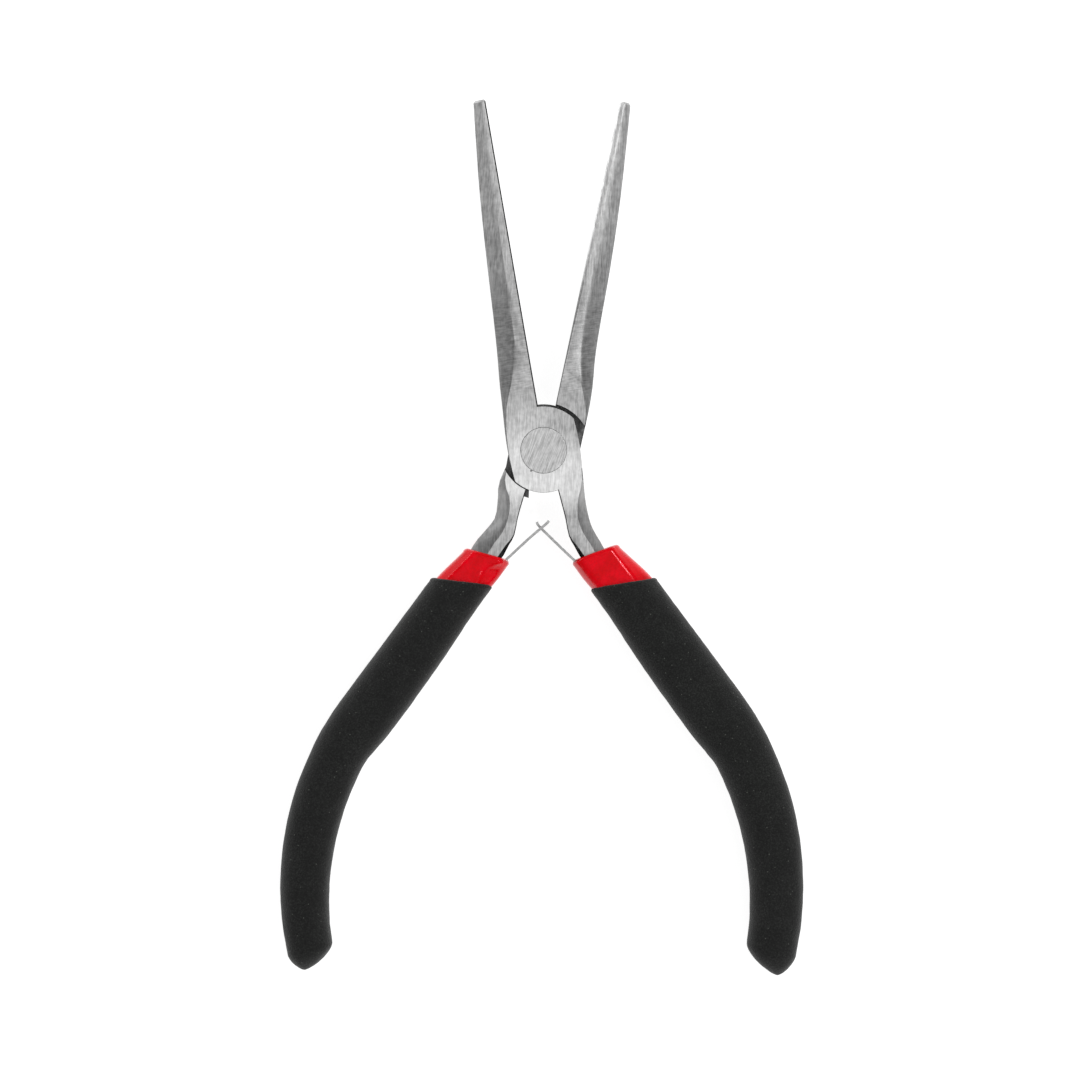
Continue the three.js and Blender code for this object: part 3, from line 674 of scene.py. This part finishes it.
# Each row: the inner edge's distance along the grip, the outer edge's distance, half height.
FOAM_STATIONS = [
    (-6.6, -1.4, 5.2), (-4, 0.4, 5.35), (0, 3, 5.5), (5, 6.5, 5.6), (10, 10, 5.7),
    (18, 18, 5.7), (24, 24, 5.6), (28, 28, 5.4), (32, 32, 5.25), (40, 40, 5.2),
    (48, 48, 5.1), (56, 56, 5.0), (63, 63, 4.9), (68.2, 68.8, 4.75),
]
FOAM_RIM = 0.55
FOAM_STEPS = 10
WALL_GAP = 0.1
ROUGHNESS_DEPTH, ROUGHNESS_SIZE = 0.045, 1.6
FOAM_END_POWER = 1.5
FOAM_END_STEPS = 16
# By side: the end's depth, and its lowest point as a share of the width
FOAM_ENDS = {1: (3.85, 0.74), -1: (3.2, 0.72)}


def foam_end(section, depth, lowest):
    """Rows that draw a grip's end in to its lowest point, a share of the width from the inner edge."""
    across = section[2:4] - section[:2]
    down = -upward(section)
    made = []
    for i in range(1, FOAM_END_STEPS):
        turn = i / FOAM_END_STEPS * math.pi / 2
        drawn = 1 - math.cos(turn) ** (2 / FOAM_END_POWER)
        sunk = down * depth * math.sin(turn) ** (2 / FOAM_END_POWER)
        inner = section[:2] + across * lowest * drawn + sunk
        outer = section[2:4] + across * (lowest - 1) * drawn + sunk
        made.append(row(inner, outer, section[4] * math.cos(turn)))
    return made


def make_foam(handle, name):
    rows = []
    for inner, outer, height in FOAM_STATIONS:
        rows.append(row(handle.point(inner, handle.width(inner)), handle.point(outer, 0), height))
    outer = run(rows, FOAM_STEPS)
    tail = foam_end(outer[-1], *FOAM_ENDS[handle.side])
    edge = list(reversed(rim(rows[0], FOAM_RIM)))
    neck = drawn_in(edge[0], 0.05)
    neck[4] = MOUTH_HEIGHT + WALL_GAP
    bore = list(reversed(run([neck, *sleeve_rows(handle, WALL_GAP)[2:]], BORE_STEPS)))
    oval = oval_profile(2.5, FOAM_COUNT)
    facts = MOUTHS[handle.side]
    skin = rounded_profile(facts["profile"](facts["crease"][-1]), FOAM_COUNT)
    rings = [ring(handle, section, skin) for section in bore[:-1]]
    rings += [ring(handle, section, oval) for section in [neck, *edge, *outer, *tail]]
    piece = loft(name, aligned(rings))
    roughen(piece, ROUGHNESS_DEPTH, ROUGHNESS_SIZE)
    return piece


def roughen(piece, depth, size):
    """Moves each point along its normal by gentle noise, depth and size in millimetres."""
    mesh = piece.data
    for vertex in mesh.vertices:
        spot = vertex.co / (size * MM)
        amount = noise.noise(spot) + 0.5 * noise.noise(spot * 3.1)
        vertex.co += vertex.normal * amount * depth * MM
    mesh.update()


# ------------------------------------------------------------------ the pieces

steel = forged_steel("ground_steel_look")
rivets = rivet_steel("rivet_look")
leaf_look = leaf_steel("leaf_look")
vinyl = red_vinyl("vinyl_look")
foam_look = black_foam("foam_look")


def finished(piece, material, node):
    piece.data.materials.clear()
    piece.data.materials.append(material)
    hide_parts(node)
    return piece


for node, body, jaw_side in (("front_half", "front", -1), ("back_half", "back", 1)):
    forging = steel_copy(node, node + "_forging", bevel=0.09)
    mark_unground(forging, jaw_side)
    finished(forging, steel, node)
    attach(forging, body)

LEVEL = 0.9

rivet = steel_copy("pivot_rivet", "pivot_rivet_ground", bevel=0.05)
middles, normals = faces_of(rivet.data)
# Painted shade: the rivet's steep faces form a dark ring where the head meets the plate.
store(rivet.data, "painted_seat_shade", (np.abs(normals[:, 2]) < LEVEL).astype(float))
finished(rivet, rivets, "pivot_rivet")
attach(rivet, "front")

for side, handle, body in (("right", RIGHT, "front"), ("left", LEFT, "back")):
    sleeve = finished(
        make_sleeve(handle, side + "_sleeve_dipped"), vinyl, side + "_vinyl_sleeve"
    )
    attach(sleeve, body)
    grip = finished(make_foam(handle, side + "_grip_foam"), foam_look, side + "_foam_grip")
    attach(grip, body)
    leaf = finished(
        steel_copy(side + "_leaf_spring", side + "_leaf_strip", bevel=0.15),
        leaf_look, side + "_leaf_spring",
    )
    middles, normals = faces_of(leaf.data)
    # Painted shade: the strip's tilted borders are darkened.
    store(leaf.data, "painted_shade_border", (np.abs(normals[:, 2]) < LEVEL).astype(float))
    joint = next(j for j in frame["joints"] if j["name"] == side + "_leaf_flex")
    pivot = Vector(joint["pos_m"])
    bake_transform(leaf)
    small = frame["nodes"][side + "_spring_rivet"]
    small.data.materials.clear()
    small.data.materials.append(rivets)


# ------------------------------------------------------------------ table, light and camera

FLOOR_SIZE = 3.0
bpy.ops.mesh.primitive_plane_add(size=FLOOR_SIZE, location=(0, 0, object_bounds()[0].z))
floor = bpy.context.object
floor.name = "table"
white = Look("table_white", Roughness=0.9)
paper = white.grain((2.0, 2.0, 2.0), detail=3.0)
white.set(
    white.shader,
    Base_Color=white.tinted(grey(0.36), white.spread(paper, 0.99, 1.01)),
    Emission_Color=(1, 1, 1, 1),
    Emission_Strength=0.86,
)
floor.data.materials.append(white.material)


def studio_sky():
    """A soft tent of light: bright overhead, dimmer half way down and bright again low down."""
    world = bpy.data.worlds.new("studio")
    scene.world = world
    world.use_nodes = True
    tree = world.node_tree
    tree.nodes.clear()
    place = tree.nodes.new("ShaderNodeTexCoord")
    split = tree.nodes.new("ShaderNodeSeparateXYZ")
    ramp = tree.nodes.new("ShaderNodeValToRGB")
    back = tree.nodes.new("ShaderNodeBackground")
    output = tree.nodes.new("ShaderNodeOutputWorld")
    tree.links.new(place.outputs["Generated"], split.inputs[0])
    tree.links.new(split.outputs["Z"], ramp.inputs["Fac"])
    tree.links.new(ramp.outputs["Color"], back.inputs["Color"])
    tree.links.new(back.outputs[0], output.inputs["Surface"])
    stops = [(0.0, 0.9), (0.2, 0.75), (0.35, 0.32), (0.7, 0.38), (0.88, 0.85), (1.0, 1.0)]
    while len(ramp.color_ramp.elements) < len(stops):
        ramp.color_ramp.elements.new(0.5)
    for element, (at, value) in zip(ramp.color_ramp.elements, stops):
        element.position = at
        element.color = (value, value, value, 1)
    back.inputs["Strength"].default_value = 1.0


def panel(name, direction, distance, size, power):
    """A rectangular lamp that faces the joint."""
    data = bpy.data.lights.new(name, "AREA")
    data.shape = "RECTANGLE"
    data.size, data.size_y = size
    data.energy = power
    lamp = bpy.data.objects.new(name, data)
    lamp.location = Vector(direction).normalized() * distance
    lamp.rotation_mode = "QUATERNION"
    lamp.rotation_quaternion = lamp.location.to_track_quat("Z", "Y")
    lamp.visible_camera = False
    scene.collection.objects.link(lamp)


studio_sky()
LAMP_DISTANCE = 0.9
panel("key", (0.45, 0.35, 0.8), LAMP_DISTANCE, (0.1, 0.1), 2.2)
panel("low_key", (0.5, -0.38, 0.78), LAMP_DISTANCE, (0.08, 0.08), 0.8)
panel("left_strip", (-0.8, 0.6, 0.05), LAMP_DISTANCE, (0.7, 0.09), 1.1)

FRAME_WIDTH = 181.44 * MM
FRAME_X, FRAME_Y = -0.6 * MM, -15.04 * MM
LENS, SENSOR = 200.0, 36.0
FOCUS_HEIGHT = 5 * MM
camera_data = bpy.data.cameras.new("camera")
camera_data.lens = LENS
camera_data.sensor_width = SENSOR
camera = bpy.data.objects.new("camera", camera_data)
camera.location = (FRAME_X, FRAME_Y, FOCUS_HEIGHT + FRAME_WIDTH * LENS / SENSOR)
scene.collection.objects.link(camera)
scene.camera = camera
scene.view_settings.view_transform = "Standard"
